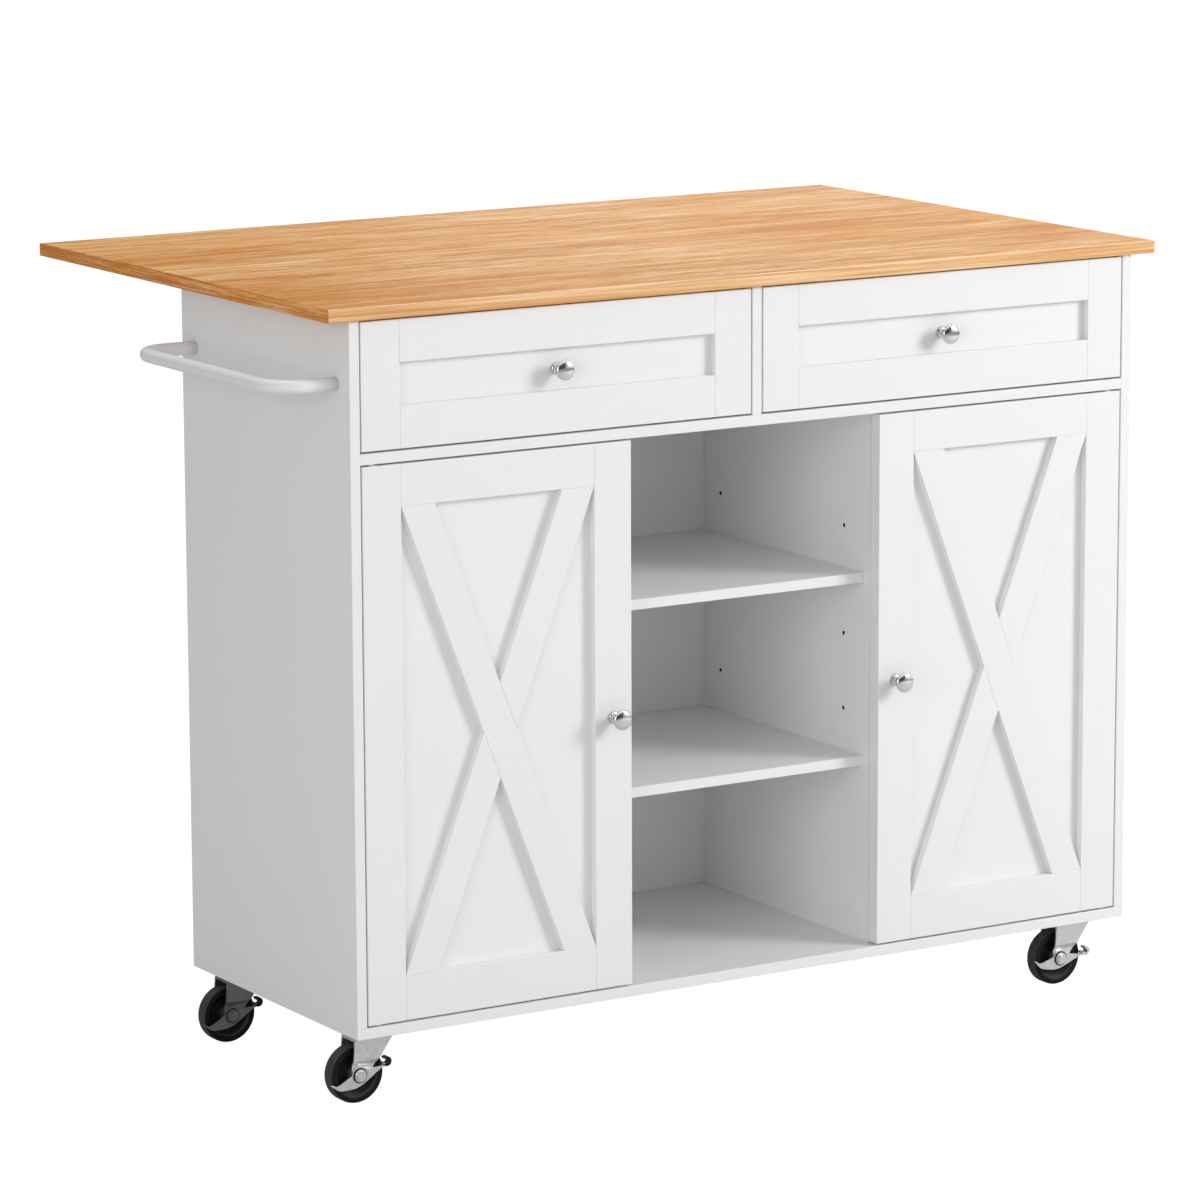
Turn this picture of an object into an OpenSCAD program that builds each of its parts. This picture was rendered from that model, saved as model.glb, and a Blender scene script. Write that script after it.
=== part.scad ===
// Rolling kitchen island with a drop leaf, two drawers, two cross-braced doors
// and an open bay of shelves. Millimetres, +Z up, floor at Z = 0, front towards -Y.

/* [Worktop and leaf] */
// Length of the worktop, side to side
top_w = 1130; // [900:5:1400]
// Thickness of the worktop and of the leaf
top_t = 15; // [12:1:30]
// Depth of the folding leaf
leaf_d = 325.5; // [300:0.5:420]
// Seam between the worktop and the leaf
leaf_seam = 1; // [0.5:0.5:3]
// Distance of the seam in front of the cabinet's rear edges, on which the leaf rests
leaf_rest = 14.5; // [8:0.5:30]
// Radius of the softened long edges of the worktop
top_edge_r = 1.2; // [0.5:0.1:4]
// Height of the worktop over the floor
total_h = 915; // [780:5:1000]

/* [Cabinet] */
// Width of the cabinet over its side panels
body_w = 1072; // [860:2:1200]
// Depth of the cabinet over its side panels
body_d = 398; // [360:1:480]
// Set-back of the cabinet's front from the worktop's front
front_setback = 7; // [2:1:30]
// Thickness of the side panels, dividers, deck, bottom and back
board_t = 12.5; // [10:0.5:20]
// Thickness of the shelves
shelf_t = 12; // [9:0.5:20]
// Set-back of the back panel's rear face from the side panels' rear edges
back_inset = 6.5; // [0:0.5:12]
// Width of the open bay between the dividers
bay_w = 343; // [260:1:440]
// Set-back of the bay shelves behind the dividers' front edges
bay_shelf_setback = 12; // [2:1:40]
// Set-back of the cupboard shelves behind the dividers' front edges
cupboard_shelf_setback = 20; // [5:1:60]
// Depth of the two rails under the worktop
top_rail_d = 60; // [40:1:90]

/* [Fronts] */
// Gap round the inset drawer fronts and doors
front_gap = 2.2; // [1.5:0.1:4]
// Thickness of the drawer fronts and doors
front_t = 18; // [16:0.5:25]
// Height of the drawer fronts
drawer_h = 145; // [110:1:190]
// Width of the upright frame strips
stile_w = 49; // [35:1:70]
// Height of the drawer fronts' cross strips
drawer_rail_h = 48.5; // [25:0.5:55]
// Height of the doors' upper cross strip
door_top_rail_h = 48; // [35:1:80]
// Height of the doors' lower cross strip
door_bottom_rail_h = 52; // [35:1:80]
// Depth of the recess inside a drawer front's frame
drawer_frame_t = 9; // [5:0.5:10]
// Depth of the recess inside a door's frame
door_frame_t = 10; // [6:0.5:11]
// Width of a cross brace, measured along its level cuts
brace_w = 43; // [25:1:70]
// Opening angle of the doors
door_swing = 110; // [80:1:120]

/* [Knobs] */
// Diameter of a knob's head
knob_d = 24; // [18:1:34]
// Height of a knob over its front
knob_h = 24; // [20:1:36]
// Diameter of the screw that holds a knob
knob_screw_d = 4; // [3:0.5:5]

/* [Drawer boxes] */
// Height of the drawer sides
drawer_side_h = 95; // [60:1:100]
// Room behind a closed drawer's box
drawer_back_room = 31; // [10:1:60]
// Thickness of the drawer sides and backs
drawer_side_t = 12; // [9:0.5:15]
// Thickness of the drawer bottoms
drawer_bottom_t = 4; // [3:0.5:6]
// Travel of the drawers
drawer_travel = 250; // [150:5:260]
// Room for a slide between a drawer side and the cabinet
slide_room = 12.7; // [12:0.1:14]
// Height of the slides
slide_h = 35; // [27:1:45]
// Length by which the slides are shorter than the drawer sides
slide_short = 30; // [20:5:80]
// Thickness of the slides' sheet steel
slide_t = 1.2; // [0.8:0.1:1.6]

/* [Shelf pins] */
// Diameter of the shelf pins
shelf_pin_d = 5; // [4:0.5:6]
// Distance between one hole of a column and the next
pin_pitch = 65; // [32:1:90]
// Height of the upper bay shelf's underside
bay_upper_z = 532; // [480:1:580]
// Height of the lower bay shelf's underside
bay_lower_z = 311; // [280:1:340]
// Height of the cupboard shelves' undersides
cupboard_z = 418; // [380:1:440]

/* [Towel bar] */
// Diameter of the towel bar
bar_d = 16; // [12:1:22]
// Wall of the towel bar
bar_wall = 1.5; // [1:0.25:2.5]
// Distance of the bar's two ends from the cabinet's front and rear edges
bar_end_in = 31; // [28:1:80]
// Distance from the side panel to the bar's outer edge
bar_reach = 83; // [70:1:110]
// Bend radius of the bar's corners, to its centre line
bar_bend_r = 34; // [25:1:46]
// Depth of the bar's centre line below the worktop's upper face
bar_drop = 88; // [60:1:95]

/* [Casters] */
// Height of a caster from the floor to the cabinet
caster_h = 84; // [80:1:90]
// Distance of a caster's swivel axis from the cabinet's edges
caster_inset = 45; // [40:1:70]
// Diameter of the wheels
wheel_d = 68; // [60:1:70]
// Width of the wheels' tread
wheel_w = 18; // [14:1:22]
// Distance of the wheel's axle from the swivel axis
caster_trail = 26; // [20:1:30]
// Diameter of the wheel's axle
axle_d = 8; // [6:0.5:10]
// Thickness of the casters' sheet steel
caster_steel_t = 2.5; // [2:0.25:3]

/* [Leaf brackets] */
// Distance of each folding bracket from the cabinet's middle
bracket_offset = 300; // [220:5:380]
// Distance from the arm's pivot down to the brace's foot
brace_foot_drop = 100; // [80:1:120]
// Length of the brace between its two pins
brace_l = 180; // [160:1:185]
// Length of the arm that carries the leaf
arm_l = 290; // [285:1:300]
// Width of the arm's channel
arm_w = 26; // [24:1:30]
// Thickness of the brackets' sheet steel
bracket_t = 1.5; // [1.2:0.1:2]
// Distance of the arm's pivot from the leaf's underside and from the back
pivot_stand = 10; // [9.5:0.5:12]
// Diameter of the brackets' pivot pins
pivot_d = 5; // [4:0.5:6]

/* [Hidden] */

// Fineness of the round parts
$fn = 48;
// Length by which a cutting shape runs past the face that it cuts
past = 1;
// Clearance of a part that sits in or beside another without force
fit_gap = 0.2;
// Radial clearance of a pin that turns in its hole
run_gap = 0.05;
// Clearance between two parts that pass each other
pass_gap = 0.4;
// Hairline between two strips or boards that are glued edge to edge
joint_gap = 0.1;

// Heights
under_top = total_h - top_t;
bottom_z = caster_h;
bottom_top_z = bottom_z + board_t;
deck_top_z = under_top - 2 * front_gap - drawer_h;
deck_z = deck_top_z - board_t;
drawer_z = deck_top_z + front_gap;
door_z = bottom_top_z + front_gap;
door_h = deck_z - front_gap - door_z;

// Depths, from the worktop's front edge
front_y = front_setback;
back_y = front_y + body_d;
back_rear_y = back_y - back_inset;
back_face_y = back_rear_y - board_t;
behind_fronts_y = front_y + front_t + front_gap / 2;
worktop_d = back_y - leaf_rest;
leaf_y = worktop_d + leaf_seam;
box_y0 = front_y + front_t;
drawer_side_l = back_face_y - box_y0 - drawer_back_room;
slide_l = drawer_side_l - slide_short;

// Widths, from the middle of the cabinet
side_in_x = body_w / 2 - board_t;
bay_x = bay_w / 2;
divider_out_x = bay_x + board_t;
post_x = board_t / 2;
door_x = bay_x;
door_w = side_in_x - front_gap - door_x;
drawer_x = post_x + front_gap;
drawer_w = side_in_x - front_gap - drawer_x;
slot_w = side_in_x - post_x;

// The part's origin: the middle of its outline, on the floor
outline_x0 = -body_w / 2 - bar_reach;
outline_x1 = top_w / 2;
outline_y0 = front_y - knob_h;
outline_y1 = leaf_y + leaf_d;
origin_x = (outline_x0 + outline_x1) / 2;
origin_y = (outline_y0 + outline_y1) / 2;

// Colours
white = [0.93, 0.93, 0.92];
inner_white = [0.9, 0.9, 0.9];
oak = [0.85, 0.64, 0.4];
chrome = [0.78, 0.78, 0.8];
zinc = [0.7, 0.7, 0.72];
black_rubber = [0.09, 0.09, 0.1];
nylon = [0.95, 0.95, 0.93];

module in_frame() {
    translate([-origin_x, -origin_y, 0]) children();
}

// side is -1 for the left half and 1 for the right half
module on_side(side) {
    if (side < 0) mirror([1, 0, 0]) children();
    else children();
}

// A box given by its two opposite corners
module block(low, high) {
    translate(low) cube(high - low);
}

// A round bar from a point along X, Y or Z; a negative length runs backwards
module rod_x(p, l, d) {
    translate(l < 0 ? p + [l, 0, 0] : p) rotate([0, 90, 0]) cylinder(h = abs(l), d = d);
}

module rod_y(p, l, d) {
    translate(l < 0 ? p + [0, l, 0] : p) rotate([-90, 0, 0]) cylinder(h = abs(l), d = d);
}

module rod_z(p, l, d) {
    translate(l < 0 ? p + [0, 0, l] : p) cylinder(h = abs(l), d = d);
}

// An outline drawn in the Y-Z plane, pulled along X from x0 to x1
module along_x(x0, x1) {
    translate([x0, 0, 0]) rotate([90, 0, 90]) linear_extrude(x1 - x0) children();
}

// An outline drawn in the X-Z plane, pulled along Y from y0 to y1
module along_y(y0, y1) {
    translate([0, y1, 0]) rotate([90, 0, 0]) linear_extrude(y1 - y0) children();
}

// The straight line of least length round two circles, as a solid outline
module link_outline(p, q, r) {
    turn = atan2(q[1] - p[1], q[0] - p[0]);
    translate(p) circle(r = r);
    translate(q) circle(r = r);
    translate(p) rotate(turn) translate([0, -r]) square([norm(q - p), 2 * r]);
}

// Where a line from a point touches a circle, on the clockwise side of their axis
function touch_point(from, centre, r) =
    let (d = norm(from - centre),
         base = atan2(from[1] - centre[1], from[0] - centre[0]),
         spread = acos(r / d))
    centre + r * [cos(base - spread), sin(base - spread)];

// A countersunk wood screw: its head's rim lies at the origin and it points along -Z
module wood_screw(length, d, head_d) {
    head_h = (head_d - d) / 2;
    rotate_extrude() polygon([[0, 0], [head_d / 2, 0], [d / 2, -head_h],
        [d / 2, d - length], [0, -length]]);
}

// ---------- Worktop, leaf and carcass ----------

module softened_board(w, y0, y1) {
    r = top_edge_r;
    along_x(-w / 2, w / 2) {
        translate([y0 + r, under_top]) square([y1 - y0 - 2 * r, top_t]);
        translate([y0, under_top + r]) square([y1 - y0, top_t - 2 * r]);
        for (y = [y0 + r, y1 - r], z = [under_top + r, total_h - r])
            translate([y, z]) circle(r = r, $fn = 16);
    }
}

top_screw_in = top_t * 0.6;

module worktop() {
    in_frame() color(oak) difference() {
        softened_board(top_w, 0, worktop_d);
        for (y = rail_y, x = rail_screw_x)
            rod_z([x, y + top_rail_d / 2, under_top - past], top_screw_in + past + fit_gap,
                rail_screw_d + fit_gap);
    }
}

module drop_leaf() {
    in_frame() color(oak) difference() {
        softened_board(top_w, leaf_y, leaf_y + leaf_d);
        for (side = [-1, 1], y = arm_screw_y)
            rod_z([side * bracket_offset, arm_pivot_y + y, under_top - past],
                top_screw_in + past + fit_gap, bracket_screw_d + fit_gap);
    }
}

rail_screw_d = 4;
rail_screw_head_d = 8;
rail_screw_x = [-0.42, -0.14, 0.14, 0.42] * body_w;
rail_y = [behind_fronts_y + front_gap, back_face_y - top_rail_d];

module top_rails() {
    in_frame() color(inner_white) difference() {
        for (y = rail_y)
            block([-side_in_x, y, under_top - board_t], [side_in_x, y + top_rail_d, under_top]);
        for (y = rail_y, x = rail_screw_x) rail_screw_space(x, y);
    }
}

module rail_screw_space(x, y) {
    centre = [x, y + top_rail_d / 2, under_top - board_t];
    rod_z(centre - [0, 0, past], board_t + 2 * past, rail_screw_d + fit_gap);
    translate(centre) cylinder(h = (rail_screw_head_d - rail_screw_d) / 2,
        d1 = rail_screw_head_d + fit_gap, d2 = rail_screw_d + fit_gap);
}

pin_depth = board_t * 0.48;
pin_row_in = [73, 37];
pin_row_y = [front_y + pin_row_in[0], back_face_y - pin_row_in[1]];
pin_drop = shelf_pin_d / 2;
bay_pin_z = [bay_upper_z - pin_drop + pin_pitch, bay_upper_z - pin_drop,
    bay_upper_z - pin_drop - pin_pitch, bay_lower_z - pin_drop + pin_pitch,
    bay_lower_z - pin_drop];
cupboard_pin_z = [for (k = [-1, 0, 1]) cupboard_z - pin_drop + k * pin_pitch];

// The holes of one column, drilled from a face at x towards dir
module pin_holes(x, dir, heights) {
    for (z = heights, y = pin_row_y)
        rod_x([x - dir * past, y, z], dir * (pin_depth + past), shelf_pin_d + fit_gap / 2);
}

bar_z = total_h - bar_drop;
bar_mid_y = front_y + body_d / 2;
bar_span = body_d - 2 * bar_end_in;
bar_screw_d = 5;

module side_panel(side) {
    in_frame() on_side(side) color(white) difference() {
        block([side_in_x, front_y, bottom_top_z], [body_w / 2, back_y, under_top]);
        pin_holes(side_in_x, 1, cupboard_pin_z);
        if (side < 0) for (k = [-1, 1])
            rod_x([side_in_x - past, bar_mid_y + k * bar_span / 2, bar_z],
                board_t + 2 * past, bar_screw_d + fit_gap);
    }
}

module side_panel_left() { side_panel(-1); }
module side_panel_right() { side_panel(1); }

// The doors turn on pins in bushes, near their outer front corners
pivot_pin_d = 5;
pivot_pin_in = 6;
pivot_from_edge = 15;
pivot_from_front = 6;
pivot_x = side_in_x - front_gap - pivot_from_edge;
pivot_y = front_y + pivot_from_front;

module door_bush_holes(z, dir) {
    for (side = [-1, 1])
        rod_z([side * pivot_x, pivot_y, z - dir * past], dir * (pivot_pin_in + 1 + past),
            pivot_pin_d + 2 * run_gap);
}

caster_screw_d = 4;
caster_hole_d = 5.5;
caster_plate = [58, 44, 2.5];
caster_hole_at = [22, 15];
caster_x = body_w / 2 - caster_inset;
caster_ys = [front_y + caster_inset, back_y - caster_inset];

module each_caster_screw() {
    for (sx = [-1, 1], y = caster_ys, i = [-1, 1], j = [-1, 1])
        translate([sx * caster_x + i * caster_hole_at[0], y + j * caster_hole_at[1], bottom_z])
            children();
}

caster_screw_in = board_t * 0.75;

module bottom_board() {
    in_frame() color(white) difference() {
        block([-body_w / 2, front_y, bottom_z], [body_w / 2, back_y, bottom_top_z]);
        each_caster_screw() rod_z([0, 0, -past], caster_screw_in + past + fit_gap,
            caster_screw_d + fit_gap);
        door_bush_holes(bottom_top_z, -1);
    }
}

module middle_deck() {
    in_frame() color(white) difference() {
        block([-side_in_x, front_y, deck_z], [side_in_x, back_face_y, deck_top_z]);
        door_bush_holes(deck_z, 1);
    }
}

module divider(side) {
    in_frame() on_side(side) color(inner_white) difference() {
        block([bay_x, behind_fronts_y, bottom_top_z], [divider_out_x, back_face_y, deck_z]);
        pin_holes(bay_x, 1, bay_pin_z);
        pin_holes(divider_out_x, -1, cupboard_pin_z);
    }
}

module divider_left() { divider(-1); }
module divider_right() { divider(1); }

module drawer_post() {
    in_frame() color(white) difference() {
        block([-post_x, front_y, deck_top_z], [post_x, back_face_y, under_top]);
        for (y = rail_y)
            block([-post_x - past, y - fit_gap, under_top - board_t - fit_gap],
                [post_x + past, y + top_rail_d + fit_gap + past * (y > body_d / 2 ? 1 : 0),
                    under_top + past]);
    }
}

bracket_screw_d = 4.5;
bracket_screw_head_d = 8;
leg_screw_z = [-22, -78];

module each_leg_screw() {
    for (sx = [-1, 1], dz = leg_screw_z)
        translate([sx * bracket_offset, back_rear_y, arm_pivot_z + dz]) children();
}

bracket_screw_in = board_t * 0.75;

module back_panel() {
    in_frame() color(inner_white) difference() {
        block([-side_in_x, back_face_y, bottom_top_z], [side_in_x, back_rear_y, under_top]);
        each_leg_screw() rod_y([0, past, 0], -bracket_screw_in - past - fit_gap,
            bracket_screw_d + fit_gap);
    }
}

// ---------- Shelves ----------

module shelf(x0, x1, setback, z) {
    in_frame() color(inner_white)
        block([x0 + fit_gap, behind_fronts_y + setback, z],
            [x1 - fit_gap, back_face_y - fit_gap, z + shelf_t]);
}

module shelf_bay_upper() { shelf(-bay_x, bay_x, bay_shelf_setback, bay_upper_z); }
module shelf_bay_lower() { shelf(-bay_x, bay_x, bay_shelf_setback, bay_lower_z); }
module shelves_cupboards() {
    shelf(-side_in_x, -divider_out_x, cupboard_shelf_setback, cupboard_z);
    shelf(divider_out_x, side_in_x, cupboard_shelf_setback, cupboard_z);
}

pin_out = 8;

module shelf_pin(x, y, z, dir) {
    rod_x([x + dir * (pin_depth - fit_gap), y, z], -dir * (pin_depth - fit_gap + pin_out),
        shelf_pin_d);
    rod_x([x, y, z], -dir * caster_steel_t / 2, shelf_pin_d * 1.6);
}

module shelf_pins() {
    in_frame() color(zinc) difference() {
        for (side = [-1, 1], y = pin_row_y) on_side(side) {
            for (z = [bay_upper_z, bay_lower_z]) shelf_pin(bay_x, y, z - pin_drop, 1);
            shelf_pin(divider_out_x, y, cupboard_z - pin_drop, -1);
            shelf_pin(side_in_x, y, cupboard_z - pin_drop, 1);
        }
        for (z = [bay_upper_z, bay_lower_z, cupboard_z])
            block([-body_w, 0, z], [body_w, back_y, z + shelf_t]);
    }
}

// ---------- Towel bar ----------

bar_axis_x = body_w / 2 + bar_reach - bar_d / 2;
bar_plug_l = 12;

module bar_pieces(d) {
    leg_l = bar_reach - bar_d / 2 - bar_bend_r;
    for (k = [-1, 1]) {
        rod_x([body_w / 2, bar_mid_y + k * bar_span / 2, bar_z], leg_l, d);
        translate([body_w / 2 + leg_l, bar_mid_y + k * (bar_span / 2 - bar_bend_r), bar_z])
            rotate([0, 0, k < 0 ? -90 : 0])
                rotate_extrude(angle = 90) translate([bar_bend_r, 0]) circle(d = d, $fn = 32);
    }
    rod_y([bar_axis_x, bar_mid_y - bar_span / 2 + bar_bend_r, bar_z],
        bar_span - 2 * bar_bend_r, d);
}

module towel_bar() {
    in_frame() on_side(-1) color(white) difference() {
        union() {
            difference() {
                bar_pieces(bar_d);
                bar_pieces(bar_d - 2 * bar_wall);
            }
            for (k = [-1, 1])
                rod_x([body_w / 2, bar_mid_y + k * bar_span / 2, bar_z], bar_plug_l,
                    bar_d - bar_wall);
        }
        for (k = [-1, 1])
            rod_x([body_w / 2 - past, bar_mid_y + k * bar_span / 2, bar_z],
                bar_plug_l + past - fit_gap, bar_screw_d + fit_gap);
    }
}

// ---------- Drawer slides ----------

box_rise = 17;
box_z0 = drawer_z + box_rise;
slide_z = box_z0 + slide_h / 2 + 3;
slide_lip = 2.8;
slide_y = behind_fronts_y + 4;

// The fixed channel, drawn in X-Z with its web at x = 0 and its mouth towards +X
module runner_outline() {
    depth = slide_room - slide_t - 2 * pass_gap;
    translate([0, -slide_h / 2]) square([slide_t, slide_h]);
    for (k = [-1, 1]) {
        translate([0, k > 0 ? slide_h / 2 - slide_t : -slide_h / 2]) square([depth, slide_t]);
        translate([depth - slide_t, k > 0 ? slide_h / 2 - slide_lip : -slide_h / 2])
            square([slide_t, slide_lip]);
    }
}

// The drawer's rail, whose two flanges run inside the channel's lips
module slide_outline() {
    half = slide_h / 2 - slide_lip - pass_gap;
    translate([slide_room - slide_t, -half]) square([slide_t, 2 * half]);
    for (k = [-1, 1])
        translate([slide_t + pass_gap, k > 0 ? half - slide_t : -half])
            square([slide_room - slide_t - pass_gap, slide_t]);
}

slide_screw_d = 4;
slide_screw_in = [30, 40];
slide_screw_at = [slide_screw_in[0], slide_l - slide_screw_in[1]];

module each_runner_place() {
    for (side = [-1, 1]) on_side(side) {
        translate([post_x, 0, slide_z]) children();
        translate([side_in_x, 0, slide_z]) mirror([1, 0, 0]) children();
    }
}

module drawer_runners() {
    in_frame() color(zinc) each_runner_place() {
        along_y(slide_y, slide_y + slide_l) runner_outline();
        for (dy = slide_screw_at)
            rod_x([slide_t / 2, slide_y + dy, 0], slide_t, slide_screw_d * 2);
    }
}

module drawer_slides(side) {
    in_frame() on_side(side) color(zinc) {
        translate([post_x, 0, slide_z])
            along_y(slide_y, slide_y + slide_l) slide_outline();
        translate([side_in_x, 0, slide_z]) mirror([1, 0, 0])
            along_y(slide_y, slide_y + slide_l) slide_outline();
    }
}

module drawer_slides_left() { drawer_slides(-1); }
module drawer_slides_right() { drawer_slides(1); }

// ---------- Framed fronts ----------

// A knob with its foot at the origin and its head towards -Y, and its screw behind
module knob(behind) {
    foot_d = knob_d * 0.55;
    neck_d = knob_d * 0.36;
    foot_h = knob_h * 0.1;
    head_r = knob_d / 2;
    head_z = knob_h * 0.66;
    dome_h = knob_h - head_z;
    cup_h = knob_h * 0.22;
    screw_room = knob_screw_d + fit_gap;
    rotate([90, 0, 0]) difference() {
        rotate_extrude() polygon(concat(
            [[0, 0], [foot_d / 2, 0], [foot_d / 2, foot_h], [neck_d / 2 + 1, foot_h + 1],
                [neck_d / 2, foot_h + 3], [neck_d / 2, head_z - cup_h]],
            [for (a = [-75 : 15 : -15]) [neck_d / 2 + (head_r - neck_d / 2) * cos(a),
                head_z + cup_h * sin(a)]],
            [for (a = [0 : 10 : 90]) [head_r * cos(a), head_z + dome_h * sin(a)]]));
        translate([0, 0, -past]) cylinder(h = knob_h * 0.5 + past, d = screw_room);
    }
    rotate([90, 0, 0]) {
        translate([0, 0, -behind]) cylinder(h = behind + knob_h * 0.5 - fit_gap,
            d = knob_screw_d);
        translate([0, 0, -behind - 2]) cylinder(h = 2, d = knob_screw_d * 2);
    }
}

// The hole for a knob's screw through a front
module knob_hole(x, z) {
    rod_y([x, front_y - past, z], front_t + 2 * past, knob_screw_d + fit_gap);
}

// Two stiles of full height with two rails between them
module frame_strips(x0, z0, w, h, low_h, high_h, t) {
    y1 = front_y + t;
    block([x0, front_y, z0], [x0 + stile_w, y1, z0 + h]);
    block([x0 + w - stile_w, front_y, z0], [x0 + w, y1, z0 + h]);
    for (z = [[z0, z0 + low_h], [z0 + h - high_h, z0 + h]])
        block([x0 + stile_w + joint_gap, front_y, z[0]],
            [x0 + w - stile_w - joint_gap, y1, z[1]]);
}

// ---------- Drawers ----------

drawer_mid_x = drawer_x + drawer_w / 2;
drawer_mid_z = drawer_z + drawer_h / 2;
box_x0 = post_x + slide_room;
box_x1 = side_in_x - slide_room;
groove_in = 5;
groove_up = 8;

module drawer_panel(side) {
    in_frame() on_side(side) color(white) difference() {
        block([drawer_x, front_y + drawer_frame_t, drawer_z],
            [drawer_x + drawer_w, front_y + front_t, drawer_z + drawer_h]);
        knob_hole(drawer_mid_x, drawer_mid_z);
    }
}

module drawer_frame(side) {
    in_frame() on_side(side) color(white)
        frame_strips(drawer_x, drawer_z, drawer_w, drawer_h, drawer_rail_h, drawer_rail_h,
            drawer_frame_t);
}

// Two sides and a back, grooved for the bottom
module drawer_box(side) {
    t = drawer_side_t;
    y1 = box_y0 + drawer_side_l;
    top_z = box_z0 + drawer_side_h;
    in_frame() on_side(side) color(inner_white) difference() {
        union() {
            block([box_x0, box_y0, box_z0], [box_x0 + t, y1, top_z]);
            block([box_x1 - t, box_y0, box_z0], [box_x1, y1, top_z]);
            block([box_x0 + t + joint_gap, y1 - t, box_z0],
                [box_x1 - t - joint_gap, y1, top_z]);
        }
        block([box_x0 + t - groove_in - fit_gap, box_y0 - past, box_z0 + groove_up],
            [box_x1 - t + groove_in + fit_gap, y1 - t + groove_in + fit_gap,
                box_z0 + groove_up + drawer_bottom_t]);
    }
}

module drawer_bottom(side) {
    t = drawer_side_t;
    in_frame() on_side(side) color(inner_white)
        block([box_x0 + t - groove_in, box_y0, box_z0 + groove_up],
            [box_x1 - t + groove_in, box_y0 + drawer_side_l - t + groove_in,
                box_z0 + groove_up + drawer_bottom_t]);
}

module drawer_knob(side) {
    in_frame() on_side(side) color(chrome)
        translate([drawer_mid_x, front_y + drawer_frame_t, drawer_mid_z])
            knob(front_t - drawer_frame_t);
}

module drawer_panel_left() { drawer_panel(-1); }
module drawer_panel_right() { drawer_panel(1); }
module drawer_frame_left() { drawer_frame(-1); }
module drawer_frame_right() { drawer_frame(1); }
module drawer_box_left() { drawer_box(-1); }
module drawer_box_right() { drawer_box(1); }
module drawer_bottom_left() { drawer_bottom(-1); }
module drawer_bottom_right() { drawer_bottom(1); }
module drawer_knob_left() { drawer_knob(-1); }
module drawer_knob_right() { drawer_knob(1); }

// ---------- Doors ----------

door_knob_x = door_x + stile_w / 2;
door_knob_z = door_z + door_h / 2;
recess_x0 = door_x + stile_w;
recess_x1 = door_x + door_w - stile_w;
recess_z0 = door_z + door_bottom_rail_h;
recess_z1 = door_z + door_h - door_top_rail_h;

module door_pivot_space() {
    rod_z([pivot_x, pivot_y, door_z - past], pivot_grip + past, pivot_pin_d + fit_gap);
    rod_z([pivot_x, pivot_y, door_z + door_h + past], -pivot_grip - past,
        pivot_pin_d + fit_gap);
}

pivot_grip = 14;

module door_panel(side) {
    in_frame() on_side(side) color(white) difference() {
        block([door_x, front_y + door_frame_t, door_z],
            [door_x + door_w, front_y + front_t, door_z + door_h]);
        knob_hole(door_knob_x, door_knob_z);
    }
}

module door_frame(side) {
    in_frame() on_side(side) color(white) difference() {
        frame_strips(door_x, door_z, door_w, door_h, door_bottom_rail_h, door_top_rail_h,
            door_frame_t);
        door_pivot_space();
        knob_hole(door_knob_x, door_knob_z);
    }
}

// One brace of the cross, cut level at both ends; it falls from x0 at the top to x1
module brace_outline(x0, x1, wider = 0) {
    lean = x1 > x0 ? 1 : -1;
    polygon([[x0 - lean * wider, recess_z1], [x0 + lean * (brace_w + wider), recess_z1],
        [x1 + lean * wider, recess_z0], [x1 - lean * (brace_w + wider), recess_z0]]);
}

// The brace that falls to the right runs through; the other one is cut in two by it
module door_cross(side) {
    left = side < 0 ? -recess_x1 : recess_x0;
    right = side < 0 ? -recess_x0 : recess_x1;
    in_frame() color(white) {
        along_y(front_y, front_y + door_frame_t) brace_outline(left, right);
        along_y(front_y, front_y + door_frame_t) difference() {
            brace_outline(right, left);
            brace_outline(left, right, joint_gap);
        }
    }
}

module door_knob(side) {
    in_frame() on_side(side) color(chrome)
        translate([door_knob_x, front_y, door_knob_z]) knob(front_t);
}

// The magnet catch, and the steel plate that it holds on the door
catch = [22, 24, 12];
catch_plate = [14, 14];
catch_plate_drop = 4;
catch_plate_x = divider_out_x + catch_plate[0];

// Two pivot pins and the steel plate that the magnet holds
module door_fittings(side) {
    plate_top_z = deck_z - front_gap - catch_plate_drop;
    in_frame() on_side(side) color(zinc) {
        rod_z([pivot_x, pivot_y, door_z - front_gap - pivot_pin_in],
            pivot_pin_in + front_gap + pivot_grip - fit_gap, pivot_pin_d);
        rod_z([pivot_x, pivot_y, door_z + door_h + front_gap + pivot_pin_in],
            -pivot_pin_in - front_gap - pivot_grip + fit_gap, pivot_pin_d);
        for (z = [door_z, door_z + door_h])
            rod_z([pivot_x, pivot_y, z], (z > door_z ? 1 : -1) * front_gap / 2,
                pivot_pin_d * 1.8);
        block([catch_plate_x - catch_plate[0] / 2, front_y + front_t,
                plate_top_z - catch_plate[1]],
            [catch_plate_x + catch_plate[0] / 2, front_y + front_t + slide_t, plate_top_z]);
    }
}

// Magnet catches under the deck, just behind the doors
module door_catches() {
    in_frame() color(nylon) for (side = [-1, 1]) on_side(side)
        block([catch_plate_x - catch[0] / 2, front_y + front_t + slide_t + pass_gap,
                deck_z - catch[2]],
            [catch_plate_x + catch[0] / 2, front_y + front_t + slide_t + pass_gap + catch[1],
                deck_z]);
}

module door_panel_left() { door_panel(-1); }
module door_panel_right() { door_panel(1); }
module door_frame_left() { door_frame(-1); }
module door_frame_right() { door_frame(1); }
module door_cross_left() { door_cross(-1); }
module door_cross_right() { door_cross(1); }
module door_knob_left() { door_knob(-1); }
module door_knob_right() { door_knob(1); }
module door_fittings_left() { door_fittings(-1); }
module door_fittings_right() { door_fittings(1); }

// ---------- Casters ----------
// Every caster trails to the left, so these are moved and not mirrored.

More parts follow.
